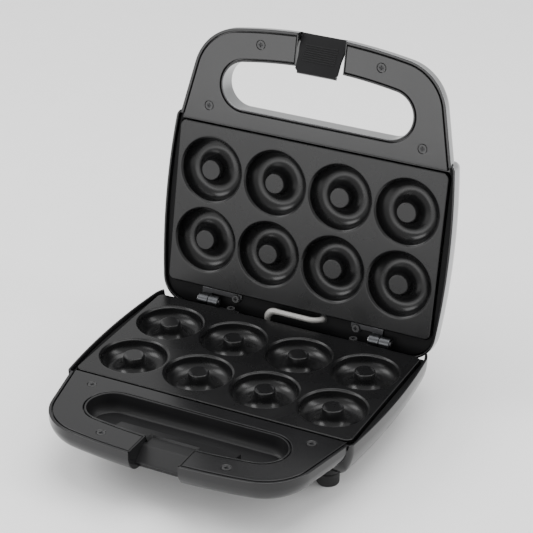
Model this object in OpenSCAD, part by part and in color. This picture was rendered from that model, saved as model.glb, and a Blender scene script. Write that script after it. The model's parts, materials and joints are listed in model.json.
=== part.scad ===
// Electric ring-cake maker: a base and a hinged lid, each with a cast plate of eight ring cavities.
// Drawn with the lid open on its stop. Z is up and the table is z = 0.
// The working frame inside the modules has its zero on the face of the base plate, front at -Y.
// Lid parts are drawn closed, as mirror images of the base, then turned open about the hinge.

/* [Body] */
// half width of the body across the middle of its bowed sides
body_half_w = 120.5; // [112:0.5:130]
// radius of the bowed sides
side_r = 590; // [300:10:900]
// rear face of the body
body_rear_y = 84; // [80:0.5:95]
// front face of the body, inside the handle
body_front_y = -74; // [-80:0.5:-70]
// height of the straight wall above the dome
wall_h = 4; // [2:0.5:8]
// height of the dome of each shell
dome_h = 36; // [25:1:45]
// how far the dome draws in
dome_in = 35; // [20:1:45]
// wall thickness of the body shell
body_wall = 1.8; // [1.2:0.1:3]

/* [Handle] */
// half distance between the centres of the front corners
handle_cx = 64.5; // [55:0.5:75]
// corner centre from the hinge side
handle_cy = -104.5; // [-105.5:0.5:-102]
// radius of the front corners
handle_r = 40.5; // [34:0.5:41]
// foremost point of the handle
handle_front_y = -150.2; // [-154:0.2:-148.6]
// height of the rounded underside of the handle
handle_dome = 16; // [10:1:22]
// width of the rim around the trim
rim_w = 2.4; // [1.5:0.1:4]
// dark gap between rim and trim
reveal = 0.9; // [0.4:0.1:1.5]
// thickness of the trim
trim_t = 2.2; // [1.5:0.1:3]

/* [Slot and latch gap] */
// half distance between the centres of the slot ends
slot_cx = 60.5; // [50:0.5:70]
// slot end centre
slot_cy = -101; // [-105:0.5:-95]
// radius of the slot ends
slot_r = 18.5; // [14:0.5:22]
// radius of the front edge of the slot
slot_front_r = 390; // [250:10:600]
// half width of the gap that holds the latch
gap_half = 19.6; // [15:0.2:25]

/* [Plates] */
// plate width
plate_w = 224.6; // [200:0.2:240]
// plate depth
plate_d = 131.4; // [120:0.2:150]
// distance between the two plate faces when closed
plate_gap = 2; // [1:0.5:5]
// pitch of the cavities across
pitch_x = 55; // [50:0.5:60]
// pitch of the two rows
pitch_y = 57.3; // [52:0.1:62]
// the rows sit this far nearer the front than the plate centre
row_shift = 1.1; // [0:0.1:3]
// outer radius of a cavity at the face
cavity_r = 26.5; // [22:0.1:28]
// radius of the ring groove's centre line
groove_cr = 16.9; // [12:0.1:20]
// radius of the ring groove's round bottom
groove_r = 8.2; // [6:0.1:10]
// radius of the flat centre post
post_r = 7.7; // [5:0.1:10]
// the centre post stands this proud of the face
post_up = 0.8; // [0:0.1:1.5]

/* [Hinge] */
// hinge axis, distance behind the plate centre
hinge_y = 75; // [72:0.5:80]
// hinge axis, height against the plate face
hinge_z = -0.9; // [-3:0.1:1]
// angle of the open lid
open_angle = 100.5; // [80:0.5:110]
// knuckle radius
knuckle_r = 4.5; // [3.5:0.1:5]
// hinge pin radius
pin_r = 2; // [1.5:0.1:2.5]
// running clearance of every turning pin, on the radius
run_clear = 0.05; // [0.02:0.01:0.1]

/* [Feet] */
// foot centre, sideways
foot_x = 90; // [80:1:100]
// front foot centre
foot_y = -52.3; // [-60:0.1:-45]
// rear foot centre
foot_rear_y = 55; // [45:1:62]
// foot radius
foot_r = 8.5; // [6:0.5:12]
// table below the plate face
table_drop = 48; // [44:1:56]

/* [Latch] */
// latch pin, distance in front of the plate centre
latch_y = -145.5; // [-147:0.1:-142]
// latch pin height in the closed lid
latch_z = 10.5; // [9:0.1:14]
// lean of the latch at rest, from straight down
latch_lean = 66.6; // [50:0.1:75]
// latch pin radius
latch_pin_r = 1.5; // [1:0.1:2]
// length of the latch plate below the pin
latch_len = 28.2; // [25:0.1:30]

/* [Part] */
// sub-part to show

/* [Hidden] */
$fn = 64;
eps = 0.01;
layers = 6;
layer_t = 0.3;

// outline helpers
side_cx = body_half_w - side_r;
function arc_pts(cx, cy, r, a0, a1, n, first = 0) = [for (k = [first:n])
    [cx + r * cos(a0 + (a1 - a0) * k / n), cy + r * sin(a0 + (a1 - a0) * k / n)]];
function left_of(p) = [for (k = [len(p) - 1:-1:0]) [-p[k][0], p[k][1]]];
function corner_x(i, r, y) = side_cx + sqrt(pow(side_r - i - r, 2) - y * y);

// right half of the body outline, drawn in by i
rear_corner = 22;
front_corner = 7;
function body_half(i) =
    let (r1 = max(rear_corner - i, 2),
        y1 = body_rear_y - i - r1,
        r0 = max(front_corner - i, 2),
        y0 = body_front_y + i + r0,
        t0 = asin(y0 / (side_r - i - r0)),
        t1 = asin(y1 / (side_r - i - r1)))
    concat(arc_pts(corner_x(i, r0, y0), y0, r0, -90, t0, 5),
        arc_pts(side_cx, 0, side_r - i, t0, t1, 8, 1),
        arc_pts(corner_x(i, r1, y1), y1, r1, t1, 90, 8, 1));
function body_pts(i) = concat(body_half(i), left_of(body_half(i)));

// right half of the handle outline, drawn in by i; its rear end lies inside the body
handle_rear_y = -60;
// the bowed front edge runs smoothly into both corners
front_reach = handle_cy - handle_front_y;
front_r = (pow(front_reach, 2) + pow(handle_cx, 2) - pow(handle_r, 2)) / (2 * (front_reach - handle_r));
front_cy = handle_front_y + front_r;
front_turn = atan2(handle_cy - front_cy, handle_cx);
front_start = -90 + asin(gap_half / front_r);
side_lean = 12.26;
function handle_half(i) =
    let (r = handle_r - i,
        end_x = handle_cx + r / cos(side_lean) + (handle_rear_y - handle_cy) * tan(side_lean))
    concat(arc_pts(0, front_cy, front_r - i, front_start, front_turn, 5),
        arc_pts(handle_cx, handle_cy, r, front_turn, -side_lean, 12, 1),
        [[end_x, handle_rear_y]]);
function handle_pts(i) = concat(left_of(handle_half(i)), handle_half(i));

// placing
back_y = max([for (k = [0:layers])
    hinge_y + (body_front_y + dome_in * (1 - cos(90 * k / layers)) - hinge_y) * cos(open_angle)
        + (plate_gap + wall_h + dome_h * sin(90 * k / layers) - hinge_z) * sin(open_angle)]);
edge_y = front_cy + front_r * sin(front_start);
shift_y = -(edge_y + back_y) / 2;
module base_at() translate([0, shift_y, table_drop]) children();
module opened() translate([0, hinge_y, hinge_z]) rotate([-open_angle, 0, 0])
    translate([0, -hinge_y, -hinge_z]) children();
module lid_at() base_at() opened() children();
module flip() translate([0, 0, plate_gap]) mirror([0, 0, 1]) children();
module side_profile(w) translate([-w / 2, 0, 0]) rotate([90, 0, 90]) linear_extrude(w) children();
module along_x(x0, x1) translate([x0, 0, 0]) rotate([0, 90, 0]) linear_extrude(x1 - x0) children();
module pin_x(x0, x1, y, z, r) translate([x0, y, z]) rotate([0, 90, 0]) cylinder(r = r, h = x1 - x0);
module four(x, y) for (sx = [-1, 1], sy = [-1, 1]) translate([sx * x, sy * y, 0]) children();
module pair(x, y) for (s = [-1, 1]) translate([s * x, y, 0]) children();

// flat shapes
module rrect(w, d, r) {
    square([w - 2 * r, d], center = true);
    square([w, d - 2 * r], center = true);
    four(w / 2 - r, d / 2 - r) circle(r = r);
}
slot_rear_y = slot_cy + slot_r;
slot_front_cy = slot_cy + sqrt(pow(slot_front_r - slot_r, 2) - slot_cx * slot_cx);
module slot_2d(o) {
    pair(slot_cx, slot_cy) circle(r = slot_r + o);
    intersection() {
        translate([0, slot_front_cy]) circle(r = slot_front_r + o, $fn = 360);
        translate([-slot_cx, slot_cy - 40]) square([2 * slot_cx, 40 + slot_r + o]);
    }
}

// shells
module dome(body, inset, depth_h, depth_in, top) hull() {
    translate([0, 0, -wall_h]) linear_extrude(top + wall_h)
        polygon(body ? body_pts(inset) : handle_pts(inset));
    for (k = [1:layers])
        translate([0, 0, -wall_h - depth_h * sin(90 * k / layers)]) linear_extrude(layer_t)
            polygon(body ? body_pts(inset + depth_in * (1 - cos(90 * k / layers)))
                : handle_pts(inset + depth_in * (1 - cos(90 * k / layers))));
}
module handle_outer() dome(false, 0, handle_dome, handle_dome, 0);
ledge_z = -trim_t - 0.2;
handle_wall = 2.5;
trim_screw_front = [49.8, -135];
trim_screw_rear = [89.1, -80.5];
module trim_screw_at() {
    pair(trim_screw_front[0], trim_screw_front[1]) children();
    pair(trim_screw_rear[0], trim_screw_rear[1]) children();
}
module trim_recess() translate([0, 0, ledge_z]) linear_extrude(10) difference() {
    polygon(handle_pts(rim_w));
    slot_2d(1.6);
    translate([-gap_half - 0.8, -160]) square([2 * gap_half + 1.6, 40]);
}
// one shell: children are what stays standing inside the hollow
module shell() difference() {
    union() {
        dome(true, 0, dome_h, dome_in, 0);
        handle_outer();
    }
    difference() {
        union() {
            dome(true, body_wall, dome_h - body_wall, dome_in - 1, 1);
            dome(false, rim_w + 2.1, handle_dome - handle_wall, handle_dome - 4, ledge_z - 0.3);
        }
        translate([0, 0, -31]) linear_extrude(40) slot_2d(1.6);
        translate([0, 0, -32]) linear_extrude(32 + ledge_z) slot_2d(4);
        translate([-gap_half - 0.8, -153, -33]) cube([2 * gap_half + 1.6, 27, 50]);
        translate([-gap_half - 2.8, -152, -34]) cube([2 * gap_half + 5.6, 26, 34 + ledge_z]);
        trim_screw_at() translate([0, 0, -35]) cylinder(r = 4, h = 35 + ledge_z);
        children();
    }
    trim_recess();
}
module trim_screw_holes() trim_screw_at() translate([0, 0, -14]) cylinder(r = 1.6, h = 20);

// posts in each shell that carry the liner
liner_foot_z = -8.1;
module liner_posts(r, z0, z1) {
    for (x = [-109, 109]) translate([x, 0, z0]) cylinder(r = r, h = z1 - z0);
    four(40, 61) translate([0, 0, z0]) cylinder(r = r, h = z1 - z0);
}

// base housing
pocket_floor = -14.5;
catch_tip_y = -139;
catch_low = -14.3;
catch_top = -5;
rear_rim_z = -12.5;
gland_x = 60;
gland_z = -26;
foot_top = -38.4;
// the pocket is deep at both ends and has a shelf in front of its middle
shelf_half = 48;
module pocket_shelf() side_profile(2 * shelf_half)
    polygon([[-130, 1], [-130, -0.6], [-109, -4.5], [-105, -4.5], [-105, 1]]);
module pocket_ends() for (s = [-1, 1]) translate([s * (shelf_half + 40), 0, 0]) side_profile(80)
    polygon([[-130, 1], [-130, pocket_floor], [-105, pocket_floor], [-105, 1]]);
module pocket_trough() side_profile(200) polygon([[-109.8, 1], [-108.4, pocket_floor],
    [-87, pocket_floor - 0.3], [-84.9, pocket_floor + 1], [-83.4, pocket_floor + 3.4],
    [-82.2, pocket_floor + 7.5], [-80, pocket_floor + 9], [-80, 1]]);
module pocket() intersection() {
    translate([0, 0, -28]) linear_extrude(40) slot_2d(0);
    union() {
        pocket_trough();
        pocket_shelf();
        pocket_ends();
    }
}
module latch_way() side_profile(2 * gap_half) polygon([[-152, 1], [-117, 1], [-117, catch_top],
    [-128, catch_top], [catch_tip_y + 1.4, catch_low + 2.4], [catch_tip_y, catch_low + 1.6],
    [catch_tip_y, catch_low], [catch_tip_y + 5, catch_low], [catch_tip_y + 5, -30], [-152, -30]]);
module base_housing() color([0.1, 0.1, 0.11]) base_at() difference() {
    union() {
        shell() {
            liner_posts(4, -50, liner_foot_z);
            for (y = [foot_y, foot_rear_y]) pair(foot_x, y) translate([0, 0, -51]) cylinder(r = 5, h = 22);
            translate([gland_x - 30, 40, -52]) four(9, 5) cylinder(r = 3, h = 17);
        }
        translate([gland_x, 72, gland_z]) rotate([-90, 0, 0]) cylinder(r = 10, h = 9.6);
        for (y = [foot_y, foot_rear_y]) pair(foot_x, y) translate([0, 0, -39]) cylinder(r = 8, h = 5.6);
    }
    pocket();
    latch_way();
    trim_screw_holes();
    translate([-130, hinge_y - 1, rear_rim_z]) cube([260, 30, 30]);
    translate([gland_x, 60, gland_z]) rotate([-90, 0, 0]) cylinder(r = 6, h = 40);
    for (y = [foot_y, foot_rear_y]) pair(foot_x, y) {
        translate([0, 0, -41]) cylinder(r = 1.7, h = 9);
        translate([0, 0, -52]) cylinder(r = foot_r + 0.15, h = 52 + foot_top);
    }
    translate([gland_x - 30, 40, -37]) four(9, 5) cylinder(r = 1.2, h = 5);
    for (s = [-1, 1]) translate([s * 118.5, -70.6, -6]) cube([6, 1, 14], center = true);
}

// trim
module trim() difference() {
    translate([0, 0, -trim_t]) linear_extrude(trim_t) difference() {
        polygon(handle_pts(rim_w + reveal));
        slot_2d(1.6 + reveal);
        translate([-gap_half - 1.3, -160]) square([2 * gap_half + 2.6, 40]);
        translate([-130, -67.8]) square([260, 30]);
    }
    trim_screw_at() {
        translate([0, 0, -1.1]) cylinder(r = 3.6, h = 5);
        translate([0, 0, -5]) cylinder(r = 1.8, h = 10);
    }
}
module screw(head_r, head_h, shank_r, shank_h) {
    difference() {
        cylinder(r = head_r, h = head_h);
        for (a = [0, 90]) rotate([0, 0, a]) translate([0, 0, head_h])
            cube([head_r * 1.1, head_r * 0.26, head_h * 1.2], center = true);
    }
    translate([0, 0, -shank_h]) cylinder(r = shank_r, h = shank_h + eps);
}
module trim_screws() trim_screw_at() translate([0, 0, -1.1]) screw(3.2, 0.9, 1.5, 11);
module base_trim() color([0.33, 0.33, 0.34]) base_at() trim();
module lid_trim() color([0.33, 0.33, 0.34]) lid_at() flip() trim();
module base_trim_screws() color([0.6, 0.6, 0.62]) base_at() trim_screws();
module lid_trim_screws() color([0.6, 0.6, 0.62]) lid_at() flip() trim_screws();

// plate with its cavities
slab_t = 3;
groove_z = -3.2;
skirt_h = 6.5;
skirt_t = 2.2;
cup_t = 2.2;
screw_at = [104, 57.5];
module cavity_at() for (k = [0:3], j = [0, 1])
    translate([(k - 1.5) * pitch_x, (j - 0.5) * pitch_y - row_shift, 0]) children();
module cavity_cut() rotate_extrude() {
    translate([groove_cr, groove_z]) circle(r = groove_r);
    polygon([[groove_cr - groove_r, groove_z], [post_r + 0.2, 0], [post_r, post_up], [post_r, 3],
        [cavity_r + 1.2, 3], [cavity_r, 0], [cavity_r - 0.9, -0.9], [groove_cr + groove_r, groove_z]]);
}
module cup() {
    rotate_extrude() difference() {
        translate([groove_cr, groove_z]) circle(r = groove_r + cup_t);
        translate([0, -1]) square([40, 20]);
    }
    translate([0, 0, groove_z - 2.2]) cylinder(r = groove_cr, h = 4);
    translate([0, 0, -0.5]) cylinder(r = post_r + 1, h = 0.5 + post_up);
}
module plate() difference() {
    union() {
        translate([0, 0, -slab_t]) linear_extrude(slab_t) rrect(plate_w, plate_d, 5);
        translate([0, 0, -skirt_h]) linear_extrude(skirt_h - 1) difference() {
            rrect(plate_w, plate_d, 5);
            rrect(plate_w - 2 * skirt_t, plate_d - 2 * skirt_t, 2.8);
        }
        cavity_at() cup();
        four(screw_at[0], screw_at[1]) translate([0, 0, -skirt_h]) cylinder(r = 4, h = skirt_h - 1);
    }
    cavity_at() cavity_cut();
    four(screw_at[0], screw_at[1]) translate([0, 0, -20]) cylinder(r = 1.8, h = 18.2);
}
module plate_screws() four(screw_at[0], screw_at[1]) translate([0, 0, liner_foot_z - 0.6])
    rotate([180, 0, 0]) screw(2.9, 2, 1.7, 6.2);
module base_plate() color([0.29, 0.29, 0.3]) base_at() plate();
module lid_plate() color([0.29, 0.29, 0.3]) lid_at() flip() plate();
module base_plate_screws() color([0.6, 0.6, 0.62]) base_at() plate_screws();
module lid_plate_screws() color([0.6, 0.6, 0.62]) lid_at() flip() plate_screws();

// liner between plate and shell
flange_z = -3.2;
liner_t = 1.6;
liner_w = plate_w + 2.4;
liner_d = plate_d + 2.4;
well_z = -12.4;
liner_rear = liner_d / 2 + liner_t;
module liner_core(rear) difference() {
    union() {
        translate([0, 0, flange_z - liner_t]) linear_extrude(liner_t) intersection() {
            polygon(body_pts(body_wall + 0.9));
            translate([-130, -90]) square([260, 90 + rear]);
        }
        translate([0, 0, liner_foot_z]) linear_extrude(flange_z - liner_foot_z) intersection() {
            polygon(body_pts(body_wall + 0.9));
            rrect(liner_w + 2 * liner_t, liner_d + 2 * liner_t, 7);
        }
    }
    translate([0, 0, -skirt_h]) linear_extrude(20) rrect(liner_w, liner_d, 6);
    translate([0, 0, -20]) linear_extrude(30) rrect(205, 112, 4);
    cavity_at() translate([0, 0, -20]) cylinder(r = 28.2, h = 30);
    four(screw_at[0], screw_at[1]) translate([0, 0, -20]) cylinder(r = 1.9, h = 30);
}
module base_liner() color([0.1, 0.1, 0.11]) base_at() difference() {
    union() {
        liner_core(liner_rear);
        intersection() {
            side_profile(260) polygon([[liner_rear - liner_t, flange_z - liner_t], [liner_rear, flange_z],
                [liner_rear, well_z], [90, well_z], [90, well_z - liner_t],
                [liner_rear - liner_t, well_z - liner_t]]);
            translate([0, 0, -30]) linear_extrude(40) polygon(body_pts(body_wall + 2));
            translate([0, 0, -6]) cube([227, 200, 20], center = true);
        }
        pair(hinge_screw_x, hinge_screw_y) translate([0, 0, well_z - 1]) cylinder(r = 3.3,
            h = leaf_z - well_z + 1);
    }
    pair(hinge_screw_x, hinge_screw_y) translate([0, 0, -20]) cylinder(r = 1.5, h = 20);
    translate([sleeve_x, sleeve_y, -20]) cylinder(r = 3.4, h = 20);
}
module lid_liner() color([0.1, 0.1, 0.11]) lid_at() difference() {
    flip() liner_core(90);
    pair(lid_screw_x, lid_screw_y) cylinder(r = 1.5, h = 20);
    translate([sleeve_end_x, lid_entry_y, 0]) cylinder(r = 2.9, h = 20);
    translate([sleeve_end_x, lid_entry_y, plate_gap - flange_z + liner_t]) cylinder(r = 3.6, h = 20);
    translate([0, hinge_y, 3]) cube([400, 6, 4.3], center = true);
}

// heating elements, heat shields, controls
element_r = 3.25;
element_z = groove_z - groove_r - cup_t - element_r;
element_y = pitch_y / 2;
module element() translate([0, -row_shift, element_z]) {
    for (s = [-1, 1]) pin_x(-70, 92, s * element_y, 0, element_r);
    translate([-70, 0, 0]) rotate([0, 0, 90]) rotate_extrude(angle = 180)
        translate([element_y, 0]) circle(r = element_r);
    for (s = [-1, 1]) pin_x(91.9, 99, s * element_y, 0, 1.5);
}
shield_z = element_z - element_r - 0.3;
module shield() difference() {
    union() {
        translate([0, 0, shield_z - 0.6]) linear_extrude(0.6) rrect(214, 122.2, 8);
        four(screw_at[0], 60.8) translate([-4, -0.3, shield_z - 0.6])
            cube([8, 0.6, liner_foot_z - shield_z + 0.6]);
        four(screw_at[0], screw_at[1] - 0.1) translate([-4, -3.7, liner_foot_z - 0.6]) cube([8, 7.4, 0.6]);
    }
    four(screw_at[0], screw_at[1]) translate([0, 0, -30]) cylinder(r = 1.9, h = 30);
    liner_posts(4.6, -40, 0);
}
module base_element() color([0.5, 0.48, 0.45]) base_at() element();
module lid_element() color([0.5, 0.48, 0.45]) lid_at() flip() element();
module base_reflector() color([0.8, 0.8, 0.8]) base_at() shield();
module lid_reflector() color([0.8, 0.8, 0.8]) lid_at() flip() shield();
module fuse() translate([pitch_x, -row_shift, -slab_t - 1.8]) {
    pin_x(-6, 6, 0, 0, 1.8);
    pin_x(-14, 14, 0, 0, 0.5);
}
module base_fuse() color([0.8, 0.75, 0.6]) base_at() fuse();
module lid_fuse() color([0.8, 0.75, 0.6]) lid_at() flip() fuse();
module thermostat() color([0.75, 0.72, 0.68]) base_at() translate([0, -row_shift, -slab_t]) {
    translate([0, 0, -3]) cylinder(r = 8, h = 3);
    translate([0, 0, -11]) cylinder(r = 6.5, h = 8.1);
    for (s = [-1, 1]) translate([s * 4 - 0.4, -3, -13.5]) cube([0.8, 6, 3]);
}
module terminal_block() color([0.85, 0.84, 0.8]) base_at() translate([gland_x - 30, 40, -35]) difference() {
    translate([-12, -8, 0]) cube([24, 16, 9]);
    for (x = [-7, 0, 7]) translate([x, 0, 2]) cylinder(r = 2.2, h = 8);
    for (x = [-7, 0, 7]) translate([x, -10, 4.5]) rotate([-90, 0, 0]) cylinder(r = 1.4, h = 20);
}

// feet
module foot(x, y) base_at() translate([x, y, -table_drop]) difference() {
    union() {
        cylinder(r1 = foot_r - 1, r2 = foot_r, h = 1);
        translate([0, 0, 1]) cylinder(r = foot_r, h = table_drop + foot_top - 1);
    }
    translate([0, 0, -1]) cylinder(r = 4.2, h = 5);
    cylinder(r = 1.9, h = 20);
}
module foot_front_left() color([0.15, 0.15, 0.15]) foot(-foot_x, foot_y);
module foot_front_right() color([0.15, 0.15, 0.15]) foot(foot_x, foot_y);
module foot_rear_left() color([0.15, 0.15, 0.15]) foot(-foot_x, foot_rear_y);
module foot_rear_right() color([0.15, 0.15, 0.15]) foot(foot_x, foot_rear_y);
module foot_screws() color([0.6, 0.6, 0.62]) base_at() for (y = [foot_y, foot_rear_y])
    pair(foot_x, y) translate([0, 0, -table_drop + 4]) rotate([180, 0, 0]) screw(3.8, 2, 1.6, 11);

// hinge: two knuckles and one pin on each side, same hand on both sides
leaf_z = -7.6;
leaf_t = 2;
leaf_y = 68.9;
hinge_screw_x = 52.8;
hinge_screw_y = 72.5;
lid_screw_x = 51.9;
lid_screw_y = 70.1;
knuckle_gap = 0.4;
left_split = -73.2;
right_split = 74.2;
knuckle_l = 8.4;
module knuckle_2d() translate([hinge_y, hinge_z]) circle(r = knuckle_r);
module base_bracket(x0, x1, s) difference() {
    union() {
        translate([x0, 0, 0]) rotate([90, 0, 90]) linear_extrude(x1 - x0) {
            knuckle_2d();
            polygon([[hinge_y - knuckle_r, hinge_z], [hinge_y - knuckle_r, leaf_z],
                [hinge_y + 1.6, leaf_z], [hinge_y + 1.6, hinge_z]]);
        }
        translate([min(s * (hinge_screw_x - 5), s > 0 ? x1 : x0), leaf_y, leaf_z])
            cube([(s > 0 ? x1 : -x0) - hinge_screw_x + 5, 76.6 - leaf_y, leaf_t]);
        translate([s * hinge_screw_x, hinge_screw_y, leaf_z]) cylinder(r = 3.6, h = leaf_t + 2);
    }
    pin_x(-120, 120, hinge_y, hinge_z, pin_r);
    translate([s * hinge_screw_x, hinge_screw_y, -20]) cylinder(r = 1.7, h = 20);
}
module lid_bracket(x0, x1, s) difference() {
    union() {
        translate([x0, 0, 0]) rotate([90, 0, 90]) linear_extrude(x1 - x0) {
            knuckle_2d();
            polygon([[66.4, plate_gap + 1.2], [66.4, plate_gap + 3.2], [hinge_y - 1.2, plate_gap + 3.2],
                [hinge_y + 2.4, plate_gap + 0.6], [hinge_y, hinge_z + 2.4], [hinge_y - 2.4, plate_gap + 1.2]]);
        }
        translate([min(s * (lid_screw_x - 4.5), s > 0 ? x1 : x0), 66.4, plate_gap + 1.2])
            cube([(s > 0 ? x1 : -x0) - lid_screw_x + 4.5, 3.9, 2]);
        translate([s * lid_screw_x, lid_screw_y, plate_gap + 1.2]) cylinder(r = 3.7, h = 2);
    }
    pin_x(-120, 120, hinge_y, hinge_z, pin_r + run_clear);
    translate([s * lid_screw_x, lid_screw_y, -5]) cylinder(r = 1.7, h = 20);
}
module base_hinge_left() color([0.75, 0.75, 0.76]) base_at()
    base_bracket(left_split + knuckle_gap / 2, left_split + knuckle_gap / 2 + knuckle_l, -1);
module base_hinge_right() color([0.75, 0.75, 0.76]) base_at()
    base_bracket(right_split + knuckle_gap / 2, right_split + knuckle_gap / 2 + knuckle_l, 1);
module lid_hinge_left() color([0.75, 0.75, 0.76]) lid_at()
    lid_bracket(left_split - knuckle_gap / 2 - knuckle_l, left_split - knuckle_gap / 2, -1);
module lid_hinge_right() color([0.75, 0.75, 0.76]) lid_at()
    lid_bracket(right_split - knuckle_gap / 2 - knuckle_l, right_split - knuckle_gap / 2, 1);
module hinge_pin(split) base_at() {
    pin_x(split - knuckle_l - 0.7, split + knuckle_l + 0.7, hinge_y, hinge_z, pin_r);
    pin_x(split - knuckle_l - 1.1, split - knuckle_l - 0.6, hinge_y, hinge_z, pin_r + 0.6);
}
module hinge_pin_left() color([0.65, 0.65, 0.66]) hinge_pin(left_split);
module hinge_pin_right() color([0.65, 0.65, 0.66]) hinge_pin(right_split);
module base_hinge_screws() color([0.7, 0.7, 0.72]) base_at() pair(hinge_screw_x, hinge_screw_y)
    translate([0, 0, leaf_z + leaf_t + 2]) screw(3.1, 1.8, 1.45, 8);
module lid_hinge_screws() color([0.7, 0.7, 0.72]) lid_at() flip() pair(lid_screw_x, lid_screw_y)
    translate([0, 0, -1.2]) screw(2.9, 1.6, 1.45, 6);

// cord inlet bush and the wire sleeve between base and lid
module cord_gland() color([0.12, 0.12, 0.12]) base_at() translate([gland_x, 70.5, gland_z])
    rotate([-90, 0, 0]) difference() {
        union() {
            cylinder(r = 6, h = 14);
            translate([0, 0, 11.1]) cylinder(r = 8.2, h = 2);
        }
        translate([0, 0, -1]) cylinder(r = 3.6, h = 16);
    }
sleeve_r = 2.3;
sleeve_x = -20.5;
sleeve_y = 72.4;
sleeve_run_z = 5;
sleeve_bend = 7;
sleeve_turn = 9;
sleeve_end_x = 23.3;
run_end_x = sleeve_end_x - sleeve_turn;
back_lean = open_angle - 90;
turn_y = sleeve_y + sleeve_turn * cos(back_lean);
turn_z = sleeve_run_z - sleeve_turn * sin(back_lean);
// where the turned end meets the lid, in the closed lid's frame
lid_entry_y = hinge_y + (turn_y - hinge_y) * cos(open_angle) - (turn_z - hinge_z) * sin(open_angle);
lid_entry_z = hinge_z + (turn_y - hinge_y) * sin(open_angle) + (turn_z - hinge_z) * cos(open_angle);
sleeve_tail = plate_gap - flange_z + 1.2 - lid_entry_z;
module wire_sleeve() color([0.82, 0.8, 0.78]) base_at() {
    translate([sleeve_x, sleeve_y, well_z - 1.6])
        cylinder(r = sleeve_r, h = sleeve_run_z - sleeve_bend - well_z + 1.6);
    translate([sleeve_x + sleeve_bend, sleeve_y, sleeve_run_z - sleeve_bend]) rotate([90, 0, 0])
        rotate([0, 0, 90]) rotate_extrude(angle = 90) translate([sleeve_bend, 0]) circle(r = sleeve_r);
    pin_x(sleeve_x + sleeve_bend, run_end_x, sleeve_y, sleeve_run_z, sleeve_r);
    translate([run_end_x, sleeve_y, sleeve_run_z]) rotate([-back_lean, 0, 0]) {
        translate([0, sleeve_turn, 0]) rotate([0, 0, -90]) rotate_extrude(angle = 90)
            translate([sleeve_turn, 0]) circle(r = sleeve_r);
        translate([sleeve_turn, sleeve_turn, 0]) rotate([-90, 0, 0])
            cylinder(r = sleeve_r, h = sleeve_tail);
    }
}
module grommet(r, flange_r) difference() {
    union() {
        translate([0, 0, -liner_t - 1]) cylinder(r = r, h = liner_t + 1.5);
        cylinder(r = flange_r, h = 0.9);
        translate([0, 0, -liner_t - 0.9]) cylinder(r = flange_r, h = 0.9);
    }
    translate([0, 0, -10]) cylinder(r = sleeve_r, h = 20);
}
module base_grommet() color([0.2, 0.2, 0.2]) base_at() translate([sleeve_x, sleeve_y, well_z])
    grommet(3.4, 3.8);
module lid_grommet() color([0.2, 0.2, 0.2]) lid_at() flip()
    translate([sleeve_end_x, lid_entry_y, flange_z]) grommet(2.9, 3.4);

// lid cover
module lid_cover() color([0.72, 0.73, 0.74]) lid_at() difference() {
    flip() difference() {
        shell() liner_posts(4, -50, liner_foot_z);
        translate([0, 0, -40]) linear_extrude(60) slot_2d(0);
        translate([-gap_half, -152, -30]) cube([2 * gap_half, 34, 40]);
        trim_screw_holes();
    }
    pin_x(-gap_half - 3.4, gap_half + 3.4, latch_y, latch_z, latch_pin_r);
}

// latch, drawn along its own length from the pin, then leaned to its rest
outer_v = 4.25;
latch_t = 2.2;
latch_half = 18.6;
latch_foot = 17.6;
knuckle_v = 3.4;
module latch_at() translate([0, latch_y, latch_z]) rotate([latch_lean, 0, 0]) children();
module latch_face() polygon([[-latch_half, 2.6], [latch_half, 2.6], [latch_half, -8],
    [latch_foot, -16], [latch_foot, -latch_len + 3], [latch_foot - 3, -latch_len],
    [-latch_foot + 3, -latch_len], [-latch_foot, -latch_len + 3], [-latch_foot, -16], [-latch_half, -8]]);
module latch() color([0.16, 0.16, 0.17]) lid_at() latch_at() difference() {
    union() {
        translate([0, latch_t - outer_v, 0]) rotate([90, 0, 0]) linear_extrude(latch_t) latch_face();
        for (k = [0:7]) pin_x(-13, 13, -outer_v, -6.4 - k * 1.7, 0.45);
        for (s = [-1, 1]) intersection() {
            pin_x(s > 0 ? latch_half - 5 : -latch_half, s > 0 ? latch_half : 5 - latch_half, 0, 0, knuckle_v);
            translate([0, 0, 0]) cube([60, 2 * outer_v, 20], center = true);
        }
        for (s = [-1, 1]) translate([s > 0 ? latch_half - 5 : -latch_half, -outer_v, -knuckle_v])
            cube([5, outer_v, 2 * knuckle_v - 0.8]);
        pin_x(-latch_foot + 1.5, latch_foot - 1.5, 0.2, -latch_len + 1.15, 1.15);
        translate([-latch_foot + 1.5, -outer_v + 1, -latch_len]) cube([2 * latch_foot - 3, outer_v - 0.8, 2.3]);
    }
    pin_x(-60, 60, 0, 0, latch_pin_r + run_clear);
}
module latch_pin() color([0.65, 0.65, 0.66]) lid_at()
    pin_x(-gap_half - 3.2, gap_half + 3.2, latch_y, latch_z, latch_pin_r);

base_housing();
base_trim();
base_trim_screws();
base_plate();
base_liner();
base_element();
base_reflector();
base_plate_screws();
foot_front_left();
foot_front_right();
foot_rear_left();
foot_rear_right();
foot_screws();
thermostat();
base_fuse();
terminal_block();
base_hinge_left();
base_hinge_right();
base_hinge_screws();
hinge_pin_left();
hinge_pin_right();
cord_gland();
base_grommet();
lid_cover();
lid_trim();
lid_trim_screws();
lid_plate();
lid_liner();
lid_element();
lid_reflector();
lid_plate_screws();
lid_hinge_left();
lid_hinge_right();
lid_hinge_screws();
lid_fuse();
lid_grommet();
latch_pin();
latch();
wire_sleeve();
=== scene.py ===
# Electric ring-cake maker with its lid open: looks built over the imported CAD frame.
import json
import math

import bpy
import bmesh
from mathutils import Matrix, Vector
from mathutils.geometry import tessellate_polygon


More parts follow.
